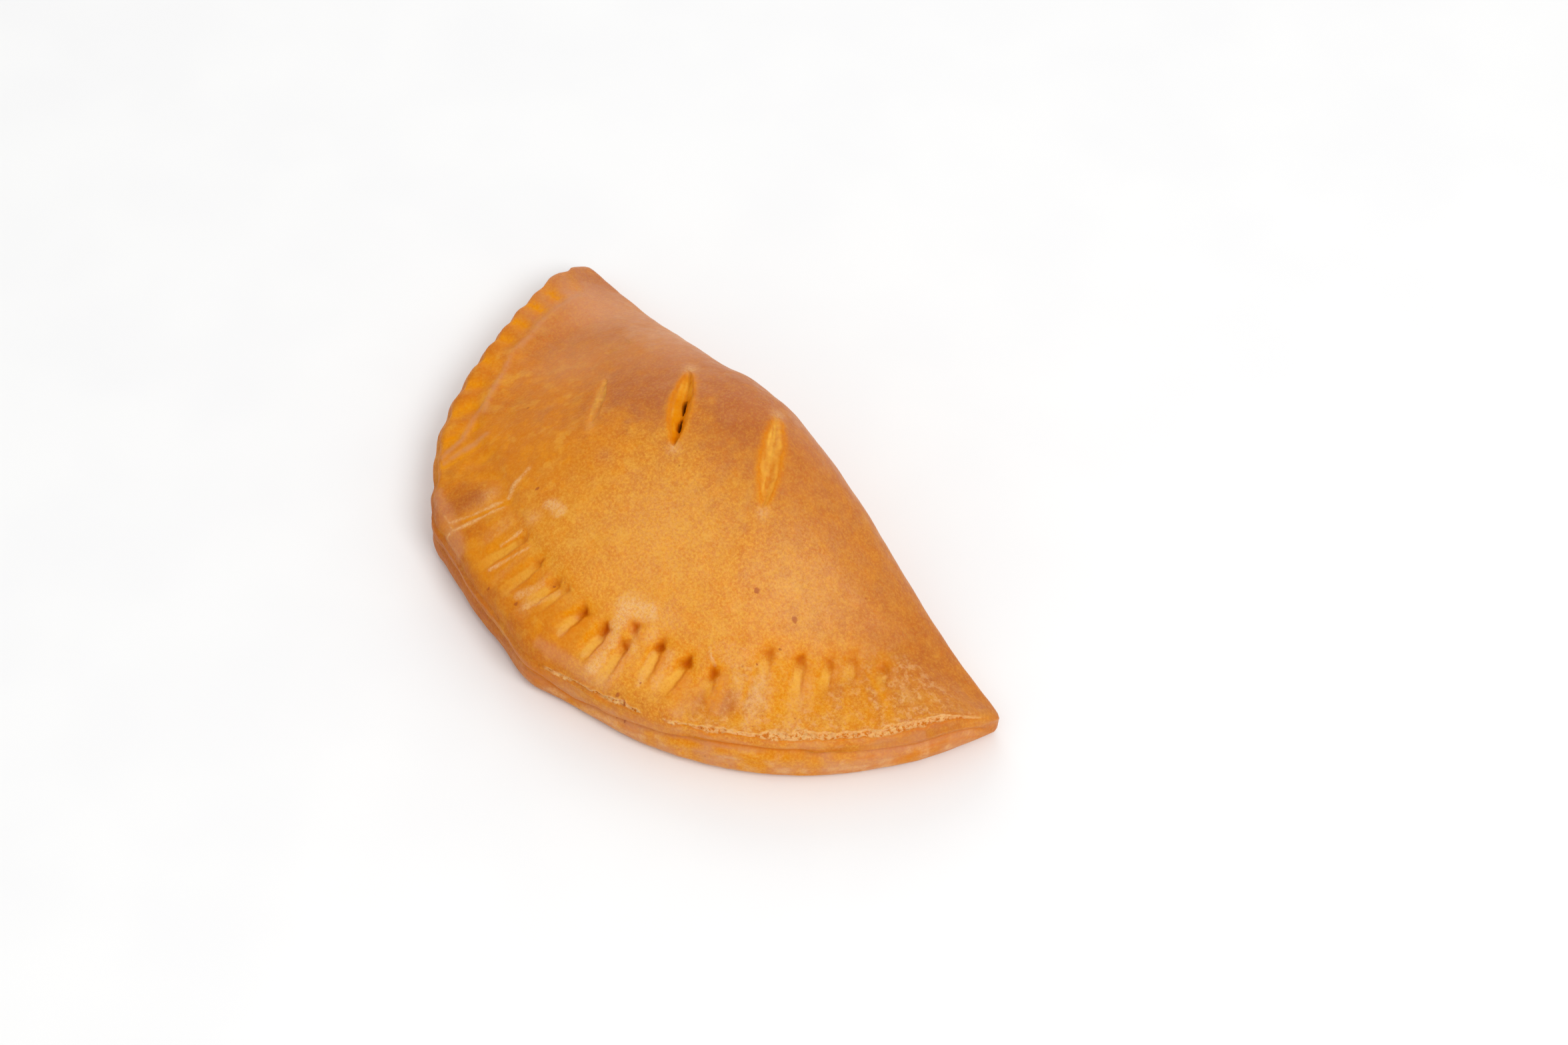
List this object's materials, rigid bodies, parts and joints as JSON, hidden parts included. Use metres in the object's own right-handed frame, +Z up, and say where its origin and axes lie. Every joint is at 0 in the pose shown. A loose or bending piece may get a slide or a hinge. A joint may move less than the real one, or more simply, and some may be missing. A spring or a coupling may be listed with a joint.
{
  "type": "savoury pastry pocket",
  "caption": "Half-moon savoury pastry pocket of folded dough, crimped with a fork along its curved rim and slit on top, baked golden.",
  "frame": {"origin": "middle of the bounding box in plan, on the flat underside", "axes": "+Z up, +X along the folded straight edge from tip to tip, -Y towards the curved crimped rim"},
  "size_m": [0.1592, 0.08, 0.0378],
  "materials": {
    "crust": "baked golden crust with a satin egg-wash sheen, browner on the crest and the rim, paler in the fork marks and slits"
  },
  "bodies": {
    "root": {"pastry_pocket": "crust"}
  },
  "joints": []
}
